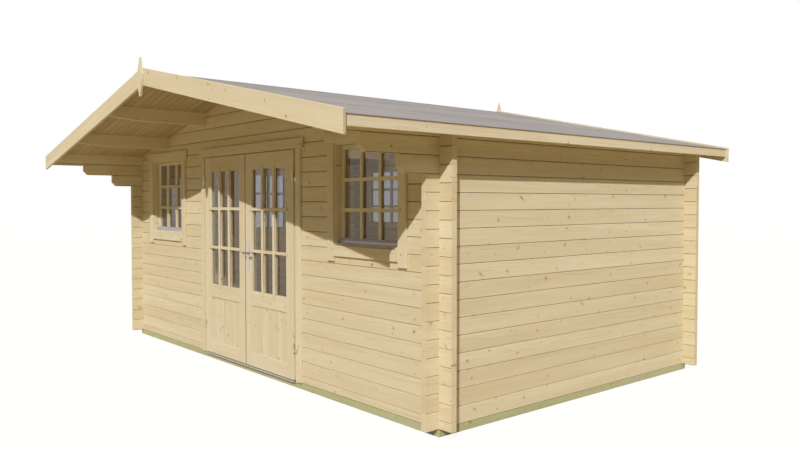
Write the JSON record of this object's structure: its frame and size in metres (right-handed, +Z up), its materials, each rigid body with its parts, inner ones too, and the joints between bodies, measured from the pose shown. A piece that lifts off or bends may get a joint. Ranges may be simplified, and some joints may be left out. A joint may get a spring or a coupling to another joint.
{
  "type": "log cabin",
  "caption": "Hollow log cabin with notched log walls, glazed doors that swing outward, small-paned windows and a felted gable roof that reaches well forward over the entrance.",
  "frame": {"origin": "ground level, under the middle of the roof's plan", "axes": "+X along the ridge's cross direction to the right of someone facing the doors, +Y from the doors to the back, +Z up"},
  "size_m": [5.37, 4.1766, 2.61],
  "materials": {
    "spruce_logs": "planed untreated spruce with knots, matte",
    "spruce_boards": "planed untreated spruce boards, matte",
    "spruce_joinery": "planed jointed spruce, matte",
    "roof_boards": "planed tongued spruce boards, matte",
    "floor_boards": "planed tongued spruce boards, matte",
    "treated_timber": "green pressure-treated timber, matte",
    "roofing_felt": "grey mineral-surfaced bitumen felt, matte",
    "clear_glass": "clear float glass",
    "aluminium_strip": "satin extruded strip",
    "hinge_steel": "zinc plated, satin",
    "handle_metal": "satin nickel"
  },
  "bodies": {
    "cabin": {"front_wall_left_logs": "spruce_logs", "front_wall_right_logs": "spruce_logs", "front_gable_logs": "spruce_logs", "back_wall_logs": "spruce_logs", "back_gable_logs": "spruce_logs", "left_wall_logs": "spruce_logs", "right_wall_logs": "spruce_logs", "ridge_purlin": "spruce_logs", "left_purlins": "spruce_logs", "right_purlins": "spruce_logs", "foundation_beams": "treated_timber", "floor_boards": "floor_boards", "left_roof_boards": "roof_boards", "right_roof_boards": "roof_boards", "left_roofing_felt": "roofing_felt", "right_roofing_felt": "roofing_felt", "front_barge_boards": "spruce_boards", "back_barge_boards": "spruce_boards", "eave_fascias": "spruce_boards", "front_finial": "spruce_boards", "back_finial": "spruce_boards", "door_frame": "spruce_joinery", "door_trim": "spruce_boards", "door_threshold": "aluminium_strip", "frame_hinges": "hinge_steel", "front_left_window_frame": "spruce_joinery", "front_left_window_sash": "spruce_joinery", "front_left_window_glass": "clear_glass", "front_left_window_drip_rail": "aluminium_strip", "front_left_window_trim": "spruce_boards", "front_right_window_frame": "spruce_joinery", "front_right_window_sash": "spruce_joinery", "front_right_window_glass": "clear_glass", "front_right_window_drip_rail": "aluminium_strip", "front_right_window_trim": "spruce_boards", "back_window_frame": "spruce_joinery", "back_window_sash": "spruce_joinery", "back_window_glass": "clear_glass", "back_window_drip_rail": "aluminium_strip", "back_window_trim": "spruce_boards", "left_window_frame": "spruce_joinery", "left_window_sash": "spruce_joinery", "left_window_glass": "clear_glass", "left_window_drip_rail": "aluminium_strip", "left_window_trim": "spruce_boards"},
    "left_door": {"left_door_leaf": "spruce_joinery", "left_door_panel": "spruce_joinery", "left_door_glass": "clear_glass", "left_leaf_hinges": "hinge_steel"},
    "right_door": {"right_door_leaf": "spruce_joinery", "right_door_panel": "spruce_joinery", "right_door_glass": "clear_glass", "right_leaf_hinges": "hinge_steel", "door_handle_plates": "handle_metal"},
    "lever": {"door_lever": "handle_metal"}
  },
  "joints": [
    {"name": "left_door_hinge", "type": "hinge", "parent": "cabin", "child": "left_door", "pos_m": [-0.777, -1.1763, 0.9735], "axis": [0, 0, -1], "range_deg": [0, 100]},
    {"name": "right_door_hinge", "type": "hinge", "parent": "cabin", "child": "right_door", "pos_m": [0.777, -1.1763, 0.9735], "axis": [0, 0, 1], "range_deg": [0, 100]},
    {"name": "lever_turn", "type": "hinge", "parent": "right_door", "child": "lever", "pos_m": [0.0435, -1.1483, 1.035], "axis": [0, 1, 0], "range_deg": [0, 40], "stiffness_Nm_per_rad": 1.5, "springref_deg": -34.38}
  ]
}
